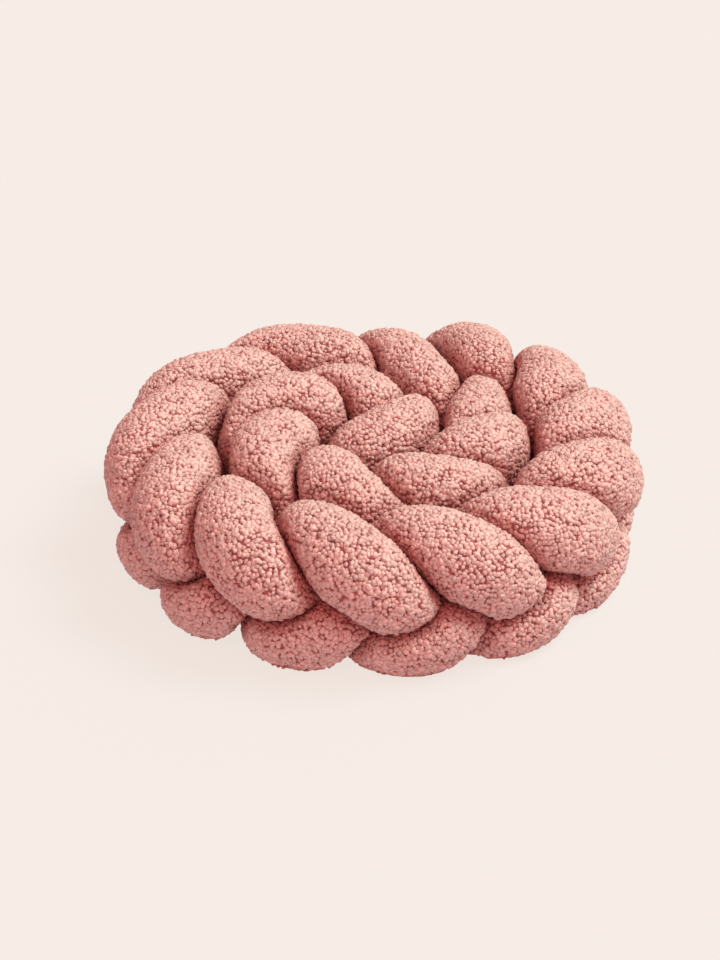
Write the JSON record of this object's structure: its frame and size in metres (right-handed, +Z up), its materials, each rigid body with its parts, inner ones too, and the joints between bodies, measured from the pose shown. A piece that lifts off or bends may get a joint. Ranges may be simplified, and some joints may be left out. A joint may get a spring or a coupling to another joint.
{
  "type": "braided crib bumper",
  "caption": "Crib bumper of stuffed boucle tubes plaited flat, stood on edge and coiled into a round nest; unrolled, it lines the rails of a crib.",
  "frame": {"origin": "on the floor, under the middle of the coil's box", "axes": "+Z up, +X to the right and -Y towards the viewer of the picture"},
  "size_m": [0.5264, 0.5114, 0.1561],
  "materials": {
    "boucle": "curly dusty-pink boucle"
  },
  "bodies": {
    "root": {"strand_1": "boucle", "strand_2": "boucle", "strand_3": "boucle"}
  },
  "joints": []
}
